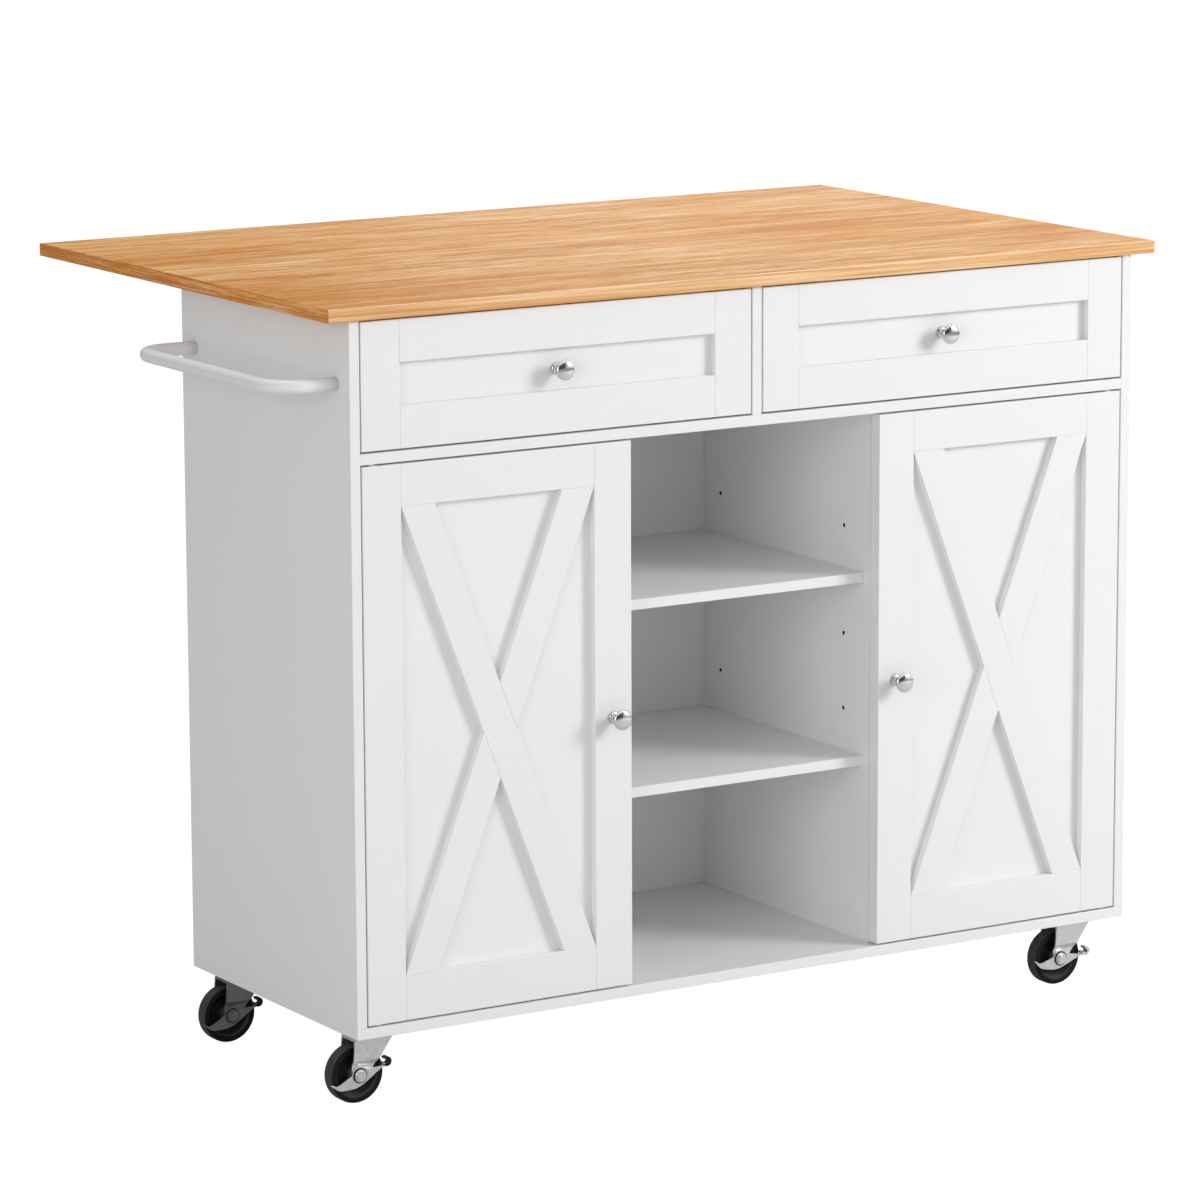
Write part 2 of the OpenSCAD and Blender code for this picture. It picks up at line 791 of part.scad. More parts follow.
raceway_d = 34;
raceway_h = 5;
kingpin_d = 8;
fork_in = wheel_w / 2 + 1.6;
fork_out = fork_in + caster_steel_t;
cheek_step = 3;
crown_out = fork_out + cheek_step;
cheek_step_z = [17, 11.5];
hub_half = fork_in - pass_gap;
fork_top_z = bottom_z - caster_plate[2] - raceway_h - pass_gap;
wheel_z = wheel_d / 2;
axle_boss_r = 10;
fork_x = [-caster_trail - 6, 16];
axle_head = [11, 3.2];
axle_flange = [15, 1.3];
axle_nut = [13, 5];
lever_t = 2;
lever_y = -fork_out - pass_gap - lever_t;

module at_caster(sx, k) {
    translate([sx * caster_x, caster_ys[k], 0]) children();
}

module caster_plates() {
    in_frame() color(zinc) for (sx = [-1, 1], k = [0, 1]) at_caster(sx, k) difference() {
        union() {
            block([-caster_plate[0] / 2, -caster_plate[1] / 2, bottom_z - caster_plate[2]],
                [caster_plate[0] / 2, caster_plate[1] / 2, bottom_z]);
            rotate_extrude() polygon([[0, bottom_z - caster_plate[2]],
                [raceway_d / 2, bottom_z - caster_plate[2]],
                [raceway_d / 2 - 2, fork_top_z + pass_gap], [0, fork_top_z + pass_gap]]);
            rod_z([0, 0, fork_top_z + pass_gap], -pass_gap * 2 - caster_steel_t - 1, kingpin_d);
            rod_z([0, 0, fork_top_z - caster_steel_t - pass_gap], -1.6, kingpin_d * 1.6);
        }
        for (i = [-1, 1], j = [-1, 1])
            rod_z([i * caster_hole_at[0], j * caster_hole_at[1], bottom_z + past],
                -caster_plate[2] - 2 * past, caster_hole_d);
    }
}

// The side of the fork, drawn in X-Z round the swivel axis
module cheek_outline() {
    axle = [-caster_trail, wheel_z];
    corner = [fork_x[1], fork_top_z - caster_steel_t / 2];
    translate(axle) circle(r = axle_boss_r);
    polygon([[-caster_trail - axle_boss_r, wheel_z], [fork_x[0], fork_top_z],
        [fork_x[1], fork_top_z], corner, touch_point(corner, axle, axle_boss_r), axle]);
}

// The near side's sheet in Y-Z, which steps inwards just above the axle
module cheek_profile() {
    step = [for (z = cheek_step_z) wheel_z + z];
    polygon([[-crown_out, fork_top_z], [-crown_out, step[0]], [-fork_out, step[1]],
        [-fork_out, 0], [-fork_in, 0], [-fork_in, step[1]],
        [-fork_in - cheek_step, step[0]], [-fork_in - cheek_step, fork_top_z]]);
}

module fork_cheek() {
    intersection() {
        along_x(-wheel_d, wheel_d) cheek_profile();
        along_y(-crown_out - past, 0) cheek_outline();
    }
}

// A bolt through lever, fork and wheel, with a flanged head at the lever and a nut behind
module axle_bolt() {
    head = [-caster_trail, lever_y - pass_gap, wheel_z];
    nut_y = fork_out + run_gap;
    rod_y(head, nut_y + axle_nut[1] - head[1], axle_d);
    rod_y(head, -axle_flange[1], axle_flange[0]);
    rod_y(head, -axle_flange[1] - axle_head[1], axle_head[0]);
    rod_y([head[0], nut_y, head[2]], axle_nut[1], axle_nut[0]);
}

module fork(sx, k) {
    in_frame() at_caster(sx, k) color(zinc) {
        difference() {
            union() {
                fork_cheek();
                mirror([0, 1, 0]) fork_cheek();
                block([fork_x[0], -crown_out, fork_top_z - caster_steel_t],
                    [fork_x[1], crown_out, fork_top_z]);
            }
            rod_z([0, 0, fork_top_z + past], -caster_steel_t - 2 * past,
                kingpin_d + 2 * run_gap);
            rod_y([-caster_trail, lever_y - past, wheel_z], 2 * (past - lever_y),
                axle_d + fit_gap);
        }
        axle_bolt();
    }
}

// Tyre with rounded shoulders, a dished web and a hub, turned about its axle
module wheel(sx, k) {
    r = wheel_d / 2;
    half = wheel_w / 2;
    hub_r = 10;
    rim_r = r - 7;
    web = 4;
    shoulder = 4;
    bore_r = axle_d / 2 + run_gap;
    face = concat(
        [[bore_r, hub_half], [hub_r - 2, hub_half], [hub_r, hub_half - 2],
            [hub_r + 1.5, web], [rim_r - 2, web], [rim_r, half - 1], [rim_r + 1, half]],
        [for (a = [90 : -15 : 0]) [r - shoulder + shoulder * cos(a),
            half - shoulder + shoulder * sin(a)]]);
    in_frame() at_caster(sx, k) color(black_rubber)
        translate([-caster_trail, 0, wheel_z]) rotate([90, 0, 0]) rotate_extrude()
            polygon(concat(face,
                [for (i = [len(face) - 1 : -1 : 0]) [face[i][0], -face[i][1]]]));
}

// Outline of the stamped brake lever round the axle, released, in parts of the wheel's
// radius: its tail at the left, its neck at the right
lever_shape = [[-0.33, 0.02], [-0.43, -0.05], [-0.58, -0.13], [-0.74, -0.22], [-0.89, -0.27],
    [-1.08, -0.19], [-1.1, -0.21], [-0.93, -0.34], [-0.85, -0.4], [-0.74, -0.44],
    [-0.55, -0.45], [-0.36, -0.445], [-0.2, -0.43], [-0.05, -0.39], [0.1, -0.325],
    [0.25, -0.23], [0.41, -0.13], [0.56, -0.02], [0.72, 0.08], [0.83, 0.155], [1.02, 0.2],
    [1.02, 0.3], [0.8, 0.235], [0.64, 0.22], [0.49, 0.21], [0.34, 0.21], [0.22, 0.23]];
lever_boss_r = 10.4;
pedal_at = [0.93, 0.4];
pedal_r = 5.4;
pedal_t = 3;
pedal_w = 9;
pedal_open = [125, 165, 205];
pressed_turn = 12;

// The rolled end of the lever, drawn in X-Z: a ring that is open at its upper left
module pedal_outline() {
    difference() {
        circle(r = pedal_r);
        circle(r = pedal_r - pedal_t);
        polygon(concat([[0, 0]], [for (a = pedal_open) 2 * pedal_r * [cos(a), sin(a)]]));
    }
}

// The front right lever stands pressed, as in use; the others are released
module lever(sx, k) {
    r = wheel_d / 2;
    press = sx > 0 && k == 0 ? pressed_turn : 0;
    in_frame() at_caster(sx, k) color(zinc) translate([-caster_trail, 0, wheel_z])
        rotate([0, press, 0]) difference() {
            union() {
                along_y(lever_y, lever_y + lever_t) {
                    circle(r = lever_boss_r);
                    polygon(lever_shape * r);
                }
                translate([pedal_at[0] * r, 0, pedal_at[1] * r])
                    along_y(lever_y + lever_t - pedal_w, lever_y + lever_t) pedal_outline();
            }
            rod_y([0, lever_y - past, 0], lever_t + 2 * past, axle_d + 2 * run_gap);
        }
}

module fork_front_left() { fork(-1, 0); }
module fork_front_right() { fork(1, 0); }
module fork_back_left() { fork(-1, 1); }
module fork_back_right() { fork(1, 1); }
module wheel_front_left() { wheel(-1, 0); }
module wheel_front_right() { wheel(1, 0); }
module wheel_back_left() { wheel(-1, 1); }
module wheel_back_right() { wheel(1, 1); }
module lever_front_left() { lever(-1, 0); }
module lever_front_right() { lever(1, 0); }
module lever_back_left() { lever(-1, 1); }
module lever_back_right() { lever(1, 1); }

// ---------- Screws of the carcass ----------

module cabinet_screws() {
    in_frame() color(zinc) {
        each_caster_screw() translate([0, 0, -caster_plate[2]]) mirror([0, 0, 1])
            pan_screw(caster_screw_in + caster_plate[2], caster_screw_d, 8);
        each_leg_screw() translate([0, bracket_t, 0]) rotate([-90, 0, 0])
            pan_screw(bracket_screw_in + bracket_t, bracket_screw_d, bracket_screw_head_d);
        for (k = [-1, 1]) translate([-side_in_x, bar_mid_y + k * bar_span / 2, bar_z])
            rotate([0, 90, 0]) pan_screw(board_t + bar_plug_l - 1, bar_screw_d, 10);
        for (y = rail_y, x = rail_screw_x)
            translate([x, y + top_rail_d / 2, under_top - board_t]) mirror([0, 0, 1])
                wood_screw(board_t + top_screw_in, rail_screw_d, rail_screw_head_d);
    }
}

// A pan-head screw whose head sits on the plane at the origin; it points along -Z
module pan_screw(length, d, head_d) {
    head_h = head_d * 0.28;
    rotate_extrude() polygon([[0, head_h], [head_d * 0.3, head_h], [head_d / 2, head_h / 3],
        [head_d / 2, 0], [d / 2, 0], [d / 2, d / 2 - length], [0, -length]]);
}

// ---------- Folding leaf brackets ----------
// Drawn in Y-Z round the arm's pivot. The brace's foot is straight below that pivot.

arm_pivot_y = back_rear_y + pivot_stand;
arm_pivot_z = under_top - pivot_stand;
leg_w = arm_w - 2 * (bracket_t + pass_gap);
brace_width = leg_w - 2 * (bracket_t + pass_gap);
brace_half = 5.5;
brace_reach = sqrt(pow(brace_l, 2) - pow(brace_foot_drop, 2));
slot_end = brace_foot_drop + brace_l;

module at_bracket(side) {
    translate([side * bracket_offset, arm_pivot_y, arm_pivot_z]) children();
}

leg_pin_r = 6;
leg_past_foot = 12;

module leg_cheek_outline() {
    translate([-pivot_stand, -brace_foot_drop - leg_past_foot])
        square([pivot_stand - bracket_t, brace_foot_drop + leg_past_foot + leg_pin_r]);
    link_outline([0, 0], [0, -brace_foot_drop], leg_pin_r);
}

module bracket_wall_legs() {
    in_frame() color(white) for (side = [-1, 1]) at_bracket(side) difference() {
        union() {
            for (x = [-leg_w / 2, leg_w / 2 - bracket_t])
                along_x(x, x + bracket_t) leg_cheek_outline();
            block([-leg_w / 2, -pivot_stand, -brace_foot_drop - leg_past_foot],
                [leg_w / 2, -pivot_stand + bracket_t, leg_pin_r]);
        }
        for (z = [0, -brace_foot_drop])
            rod_x([-arm_w, 0, z], 2 * arm_w, pivot_d + fit_gap / 2);
        for (dz = leg_screw_z)
            rod_y([0, -pivot_stand - past, dz], bracket_t + 2 * past,
                bracket_screw_d + fit_gap);
    }
}

// The rivets at the arm's pivot and, flush with the leg, at the brace's foot
module bracket_pins() {
    head_h = 1.5;
    in_frame() color(zinc) for (side = [-1, 1]) at_bracket(side) {
        half = arm_w / 2 + pass_gap / 2;
        rod_x([-half, 0, 0], 2 * half, pivot_d);
        for (k = [-1, 1]) rod_x([k * half, 0, 0], k * head_h, pivot_d * 1.6);
        rod_x([-leg_w / 2, 0, -brace_foot_drop], leg_w, pivot_d);
    }
}

arm_screw_y = [0.15, 0.5, 0.85] * arm_l;
arm_lip = 6;

module arm_cheek_outline() {
    difference() {
        union() {
            circle(r = pivot_stand - 2);
            polygon([[0, -arm_lip], [arm_l - 4, -arm_lip], [arm_l, 4 - arm_lip],
                [arm_l, pivot_stand], [0, pivot_stand]]);
        }
        link_outline([brace_reach - 1, 0], [slot_end + 1, 0], pivot_d / 2 + pass_gap);
    }
}

module bracket_arms() {
    in_frame() color(white) for (side = [-1, 1]) at_bracket(side) difference() {
        union() {
            for (x = [-arm_w / 2, arm_w / 2 - bracket_t])
                along_x(x, x + bracket_t) arm_cheek_outline();
            block([-arm_w / 2, 0, pivot_stand - bracket_t],
                [arm_w / 2, arm_l, pivot_stand]);
        }
        rod_x([-arm_w, 0, 0], 2 * arm_w, pivot_d + 2 * run_gap);
        for (y = arm_screw_y)
            rod_z([0, y, pivot_stand + past], -bracket_t - 2 * past,
                bracket_screw_d + fit_gap);
    }
}

module leaf_screws() {
    in_frame() color(zinc) for (side = [-1, 1]) at_bracket(side)
        for (y = arm_screw_y) translate([0, y, pivot_stand - bracket_t]) mirror([0, 0, 1])
            pan_screw(bracket_t + top_screw_in, bracket_screw_d, bracket_screw_head_d);
}

// A channel between two pins; the upper pin rides in the arm's slot
module bracket_brace(side) {
    tip = [brace_reach, 0];
    foot = [0, -brace_foot_drop];
    rise = atan2(brace_foot_drop, brace_reach);
    in_frame() at_bracket(side) color(white) {
        difference() {
            along_x(-brace_width / 2, brace_width / 2) link_outline(foot, tip, brace_half);
            along_x(-brace_width / 2 + bracket_t, brace_width / 2 - bracket_t)
                translate(foot) rotate(rise)
                    translate([brace_half * 1.8, -brace_half - past])
                        square([brace_l - brace_half * 3.6, 2 * brace_half + past - bracket_t]);
            rod_x([-arm_w, 0, -brace_foot_drop], 2 * arm_w, pivot_d + 2 * run_gap);
        }
        rod_x([-arm_w / 2 + bracket_t + pass_gap, brace_reach, 0],
            arm_w - 2 * (bracket_t + pass_gap), pivot_d);
    }
}

module bracket_brace_left() { bracket_brace(-1); }
module bracket_brace_right() { bracket_brace(1); }

worktop();
top_rails();
side_panel_left();
side_panel_right();
bottom_board();
middle_deck();
divider_left();
divider_right();
drawer_post();
back_panel();
shelf_bay_upper();
shelf_bay_lower();
shelves_cupboards();
shelf_pins();
towel_bar();
drawer_runners();
door_catches();
caster_plates();
cabinet_screws();
bracket_wall_legs();
bracket_pins();
drop_leaf();
bracket_arms();
leaf_screws();
bracket_brace_left();
bracket_brace_right();
drawer_panel_left();
drawer_frame_left();
drawer_box_left();
drawer_bottom_left();
drawer_slides_left();
drawer_knob_left();
drawer_panel_right();
drawer_frame_right();
drawer_box_right();
drawer_bottom_right();
drawer_slides_right();
drawer_knob_right();
door_panel_left();
door_frame_left();
door_cross_left();
door_knob_left();
door_fittings_left();
door_panel_right();
door_frame_right();
door_cross_right();
door_knob_right();
door_fittings_right();
fork_front_left();
wheel_front_left();
lever_front_left();
fork_front_right();
wheel_front_right();
lever_front_right();
fork_back_left();
wheel_back_left();
lever_back_left();
fork_back_right();
wheel_back_right();
lever_back_right();
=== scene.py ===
import math
import bmesh
import bpy
from mathutils import Matrix, Vector


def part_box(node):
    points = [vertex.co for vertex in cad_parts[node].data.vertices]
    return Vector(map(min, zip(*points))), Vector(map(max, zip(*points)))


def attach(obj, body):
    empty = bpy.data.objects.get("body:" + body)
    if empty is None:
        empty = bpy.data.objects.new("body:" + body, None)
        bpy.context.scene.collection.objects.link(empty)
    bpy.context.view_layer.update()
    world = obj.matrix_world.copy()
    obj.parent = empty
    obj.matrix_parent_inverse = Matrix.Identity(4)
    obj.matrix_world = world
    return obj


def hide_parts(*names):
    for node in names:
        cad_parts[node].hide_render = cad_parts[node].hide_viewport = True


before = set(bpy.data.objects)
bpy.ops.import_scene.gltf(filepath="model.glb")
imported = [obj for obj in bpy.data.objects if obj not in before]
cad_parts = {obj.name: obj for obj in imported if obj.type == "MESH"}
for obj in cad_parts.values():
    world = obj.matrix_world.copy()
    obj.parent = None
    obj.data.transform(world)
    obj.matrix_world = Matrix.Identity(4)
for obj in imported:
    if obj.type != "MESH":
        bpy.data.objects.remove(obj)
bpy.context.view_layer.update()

# The camera. It stands to the left of the island and a little above it, far away behind a
# long lens, as for a furniture catalogue.
scene = bpy.context.scene
scene.view_settings.view_transform = "Standard"
yaw, pitch, roll = math.radians(31.6586), math.radians(10.7707), math.radians(-0.2273)
stand = Vector((-3.3922, -5.5416, 1.7174))
sight = Vector((math.sin(yaw) * math.cos(pitch), math.cos(yaw) * math.cos(pitch),
    -math.sin(pitch)))
level = sight.cross(Vector((0, 0, 1))).normalized()
upright = level.cross(sight)
right = math.cos(roll) * level + math.sin(roll) * upright
above = math.cos(roll) * upright - math.sin(roll) * level
lens = bpy.data.cameras.new("catalogue_camera")
lens.lens, lens.sensor_width, lens.clip_end = 163.826, 36.0, 100.0
camera = bpy.data.objects.new("catalogue_camera", lens)
camera.matrix_world = Matrix((
    (right.x, above.x, -sight.x, stand.x), (right.y, above.y, -sight.y, stand.y),
    (right.z, above.z, -sight.z, stand.z), (0, 0, 0, 1)))
scene.collection.objects.link(camera)
scene.camera = camera


# ---- Bottom board ----
# A full-size fibreboard panel in satin white foil. Everything else stands on it, and the four
# casters are screwed to its underside.
def wired(tree, kind, settings, sockets):
    """A new node of a tree, with its settings made and each socket linked or set."""
    node = tree.nodes.new(kind)
    for name, value in settings.items():
        setattr(node, name, value)
    for name, value in sockets.items():
        if isinstance(value, bpy.types.NodeSocket):
            tree.links.new(value, node.inputs[name])
        else:
            node.inputs[name].default_value = value
    return node


class Flow:
    """One socket of a material, on which sums are written as plain arithmetic."""

    def __init__(self, finish, socket):
        self.finish, self.socket = finish, socket

    def _sum(self, kind, first, second):
        return self.finish.add("ShaderNodeMath", {"operation": kind}, {0: first, 1: second})

    def __add__(self, other): return self._sum("ADD", self, other)
    def __radd__(self, other): return self._sum("ADD", other, self)
    def __sub__(self, other): return self._sum("SUBTRACT", self, other)
    def __rsub__(self, other): return self._sum("SUBTRACT", other, self)
    def __mul__(self, other): return self._sum("MULTIPLY", self, other)
    def __rmul__(self, other): return self._sum("MULTIPLY", other, self)
    def above(self, limit): return self._sum("GREATER_THAN", self, limit)
    def size(self): return self._sum("ABSOLUTE", self, 0.0)

    def held(self):
        return self.finish.add("ShaderNodeClamp", {}, {"Value": self})


class Finish:
    """A material with one principled shader, built up in plain steps."""

    def __init__(self, name, **constants):
        self.material = bpy.data.materials.new(name)
        self.material.use_nodes = True
        self.tree = self.material.node_tree
        self.shader = self.tree.nodes["Principled BSDF"]
        for socket, value in constants.items():
            self.shader.inputs[socket.replace("_", " ")].default_value = value
        self.place = self.add("ShaderNodeTexCoord", {}, {}, "Object")

    def add(self, kind, settings, sockets, output=0):
        bare = {name: value.socket if isinstance(value, Flow) else value
            for name, value in sockets.items()}
        return Flow(self, wired(self.tree, kind, settings, bare).outputs[output])

    def set(self, name, value):
        self.tree.links.new(value.socket, self.shader.inputs[name])

    def split(self, vector):
        """The X, Y and Z of a vector."""
        first = self.add("ShaderNodeSeparateXYZ", {}, {"Vector": vector})
        return [Flow(self, output) for output in first.socket.node.outputs]

    def facing(self):
        """The way a face points, by the piece's own directions: paint chosen by it stays
        where it is when a leaf folds, a door opens or a wheel turns."""
        return self.split(self.add("ShaderNodeTexCoord", {}, {}, "Normal"))

    def noise(self, stretch, scale, detail=2.0, roughness=0.5, distortion=0.0, at=None):
        spread = self.add("ShaderNodeMapping", {}, {"Vector": at or self.place, "Scale": stretch})
        return self.add("ShaderNodeTexNoise", {}, {"Vector": spread, "Scale": scale,
            "Detail": detail, "Roughness": roughness, "Distortion": distortion}, "Fac")

    def relief(self, height, distance, strength):
        return self.add("ShaderNodeBump", {},
            {"Height": height, "Distance": distance, "Strength": strength}, "Normal")

    def blend(self, amount, first, second, kind="MIX"):
        return self.add("ShaderNodeMix", {"data_type": "RGBA", "blend_type": kind},
            {"Factor": amount, 6: first, 7: second}, 2)

    def ramp(self, along, stops):
        """Colours at given places of a value from 0 to 1."""
        ramp = self.add("ShaderNodeValToRGB", {}, {"Fac": along})
        band = ramp.socket.node.color_ramp
        for _ in range(len(stops) - len(band.elements)):
            band.elements.new(0.5)
        for element, (at, colour) in zip(band.elements, stops):
            element.position, element.color = at, (*colour, 1.0)
        return ramp


def white_foil(name, tone, drilled_behind=None):
    """Satin foil: a trace of cloudiness, and the fine ripple of the board under it. Holes
    drilled behind a given depth show the raw brown fibreboard, darkened with painted shade."""
    foil = Finish(name, Specular_IOR_Level=0.4)
    cloud = foil.noise((1, 1, 1), 6.0, 3.0)
    grain = foil.noise((1, 1, 1), 900.0, 2.0)
    ripple = foil.noise((1, 1, 1), 70.0, 2.0)
    face = foil.blend(cloud, (tone * 0.985,) * 3 + (1,), (tone * 1.012,) * 3 + (1,))
    if drilled_behind is not None:
        sideways = foil.facing()[0].size()
        depth = foil.split(foil.place)[1]
        # Raw board with painted shade: faces behind the front edge that don't look sideways take a
        # brown darker than bare fibreboard
        raw_board_and_painted_shade = ((0.5 - sideways) * 20.0).held() * ((depth - drilled_behind) * 500.0).held()
        face = foil.blend(raw_board_and_painted_shade, face, (0.09, 0.065, 0.045, 1))
    foil.set("Base Color", face)
    foil.set("Roughness", 0.36 + 0.12 * grain)
    foil.set("Normal", foil.relief(grain * 0.3 + ripple, 0.00006, 0.5))
    return foil.material


def placed(name, mesh):
    """An object at the origin that shows a mesh."""
    piece = bpy.data.objects.new(name, mesh)
    scene.collection.objects.link(piece)
    return piece


def softened(node, body, material, width=0.0005, longer_than=0.003):
    """A copy of a board with its long arrises broken, as sanding and foil leave them."""
    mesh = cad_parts[node].data.copy()
    shape = bmesh.new()
    shape.from_mesh(mesh)
    bmesh.ops.remove_doubles(shape, verts=shape.verts, dist=1e-6)
    bmesh.ops.dissolve_limit(shape, angle_limit=math.radians(0.5), verts=shape.verts,
        edges=shape.edges)
    sharp = [edge for edge in shape.edges if len(edge.link_faces) == 2
        and edge.calc_length() > longer_than and edge.calc_face_angle(0) > math.radians(35)]
    made = bmesh.ops.bevel(shape, geom=sharp, offset=width, segments=2, profile=0.6,
        affect="EDGES", clamp_overlap=True)
    for face in shape.faces:
        face.smooth = False
    for face in made["faces"]:
        face.smooth = True
    shape.to_mesh(mesh)
    shape.free()
    mesh.materials.clear()
    mesh.materials.append(material)
    piece = placed(node + ".softened", mesh)
    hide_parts(node)
    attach(piece, body)


outer_foil = white_foil("outer_white_foil", 0.86)
softened("bottom_board", "cabinet", outer_foil)


# ---- End panels, deck and drawer post ----
# Foiled boards of the same stock. The end panels stand on the bottom board, so a fine joint
# line shows along their feet, and the deck and post lie flush between them.
for board in ("side_panel_left", "side_panel_right", "middle_deck", "drawer_post"):
    softened(board, "cabinet", outer_foil)


# ---- Dividers, back, rails and shelves ----
# Melamine-faced boards in the white of the fronts. The shelves lie loose on steel pins, and
# the spare pin holes of the dividers show the raw board, darkened with painted shade.
inner_melamine = white_foil("inner_melamine", 0.86)
for board in ("back_panel", "top_rails", "shelf_bay_upper", "shelf_bay_lower",
        "shelves_cupboards"):
    softened(board, "cabinet", inner_melamine, 0.0004)
front_edge = 0.004
drilled_melamine = white_foil("drilled_melamine", 0.86,
    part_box("divider_left")[0].y + front_edge)
for board in ("divider_left", "divider_right"):
    softened(board, "cabinet", drilled_melamine, 0.0004)


# ---- Shelf pins, drawer slides and small fittings ----
# Pressed and turned steel with bright zinc plating, whose crystals show as a faint mottle.
def zinc_plate(name, tone, rough):
    """Bright zinc: a patchwork of crystals that differ a little in shine."""
    zinc = Finish(name, Metallic=1.0)
    crystals = zinc.add("ShaderNodeTexVoronoi", {"feature": "F1"},
        {"Vector": zinc.place, "Scale": 260.0, "Randomness": 1.0}, "Color")
    patch = zinc.add("ShaderNodeSeparateColor", {}, {"Color": crystals}, 0)
    drawn = zinc.noise((1, 1, 14), 160.0, 3.0)
    dull = [tone * shade for shade in (0.93, 0.93, 0.95)]
    shine = [tone * shade for shade in (1.04, 1.04, 1.05)]
    zinc.set("Base Color", zinc.blend(patch, (*dull, 1), (*shine, 1)))
    zinc.set("Roughness", rough - 0.05 + 0.1 * patch + 0.08 * drawn)
    zinc.set("Normal", zinc.relief(drawn, 0.00004, 0.4))
    return zinc.material


def dressed(node, material):
    """A node whose solid is already right, in its finish."""
    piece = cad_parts[node]
    for place in piece.material_slots:
        place.link = "OBJECT"
        place.material = material


zinc = zinc_plate("bright_zinc", 0.8, 0.32)
for fitting in ("shelf_pins", "bracket_pins"):
    dressed(fitting, zinc)
softened("drawer_runners", "cabinet", zinc, 0.0002)
nylon = Finish("white_nylon", Base_Color=(0.82, 0.82, 0.8, 1))
nylon.set("Roughness", 0.42 + 0.16 * nylon.noise((1, 1, 1), 400.0))
nylon.set("Normal", nylon.relief(nylon.noise((1, 1, 1), 900.0), 0.00005, 0.4))
softened("door_catches", "cabinet", nylon.material, 0.0006)


# ---- Towel bar ----
# A bent steel tube in white powder coat, screwed on from inside the left end panel.
def powder_coat(name, tone):
    """Powder coat: an even white with the fine skin of an orange."""
    coat = Finish(name, Coat_Weight=0.15, Coat_Roughness=0.3)
    skin = coat.noise((1, 1, 1), 520.0, 1.5)
    cloud = coat.noise((1, 1, 1), 9.0, 2.0)
    coat.set("Base Color", coat.blend(cloud, (tone * 0.985,) * 3 + (1,), (tone,) * 3 + (1,)))
    coat.set("Roughness", 0.3 + 0.12 * skin)
    coat.set("Normal", coat.relief(skin, 0.00012, 0.35))
    return coat.material


def tube_along(name, path, radius, sides, material):
    """A round tube through a list of points, closed at both ends."""
    shape = bmesh.new()
    rings = []
    for index, point in enumerate(path):
        ahead = path[min(index + 1, len(path) - 1)] - path[max(index - 1, 0)]
        ahead.normalize()
        side = ahead.cross(Vector((0, 0, 1))).normalized()
        lift = side.cross(ahead)
        rings.append([shape.verts.new(point + radius * (
            math.cos(turn * math.tau / sides) * side + math.sin(turn * math.tau / sides) * lift))
            for turn in range(sides)])
    for first, second in zip(rings, rings[1:]):
        for turn in range(sides):
            after = (turn + 1) % sides
            shape.faces.new((first[turn], first[after], second[after], second[turn])).smooth = True
    shape.faces.new(rings[0])
    shape.faces.new(rings[-1])
    bmesh.ops.recalc_face_normals(shape, faces=shape.faces)
    mesh = bpy.data.meshes.new(name)
    shape.to_mesh(mesh)
    shape.free()
    mesh.materials.append(material)
    return placed(name, mesh)


coat_white = powder_coat("powder_coat_white", 0.84)
low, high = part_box("towel_bar")
bar_radius = (high.z - low.z) / 2
bar_z = (high.z + low.z) / 2
bend, foot = 0.034, 0.02
reach_x, root_x = low.x + bar_radius, high.x
near_y, far_y = low.y + bar_radius, high.y - bar_radius
quarter = [math.radians(90 * turn / 16) for turn in range(17)]
bar_path = [Vector((root_x, near_y, bar_z)), Vector((root_x - foot, near_y, bar_z))]
bar_path += [Vector((reach_x + bend - bend * math.sin(angle),
    near_y + bend - bend * math.cos(angle), bar_z)) for angle in quarter]
bar_path += [Vector((reach_x + bend - bend * math.cos(angle),
    far_y - bend + bend * math.sin(angle), bar_z)) for angle in quarter]
bar_path += [Vector((root_x - foot, far_y, bar_z)), Vector((root_x, far_y, bar_z))]
bar = tube_along("towel_bar.tube", bar_path, bar_radius, 40, coat_white)
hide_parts("towel_bar")
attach(bar, "cabinet")


# ---- Drawers ----
# Each has a melamine box on steel slides and an inset front: four butt-jointed strips glued
# round the edge of a backing panel, in the same satin foil as the cabinet.
for side in ("left", "right"):
    body = "drawer_" + side
    softened("drawer_panel_" + side, body, outer_foil, 0.0004)
    softened("drawer_frame_" + side, body, outer_foil, 0.0006)
    softened("drawer_box_" + side, body, inner_melamine, 0.0004)
    softened("drawer_bottom_" + side, body, inner_melamine, 0.0002)
    softened("drawer_slides_" + side, body, zinc, 0.0002)


# ---- Doors ----
# Framed like the drawer fronts, with a cross of two strips: the one that falls to the right
# runs through, and the other is cut in two against it.
for side in ("left", "right"):
    body = "door_" + side
    softened("door_panel_" + side, body, outer_foil, 0.0004)
    softened("door_frame_" + side, body, outer_foil, 0.0006)
    softened("door_cross_" + side, body, outer_foil, 0.0006)
    softened("door_fittings_" + side, body, zinc, 0.0001, 0.009)


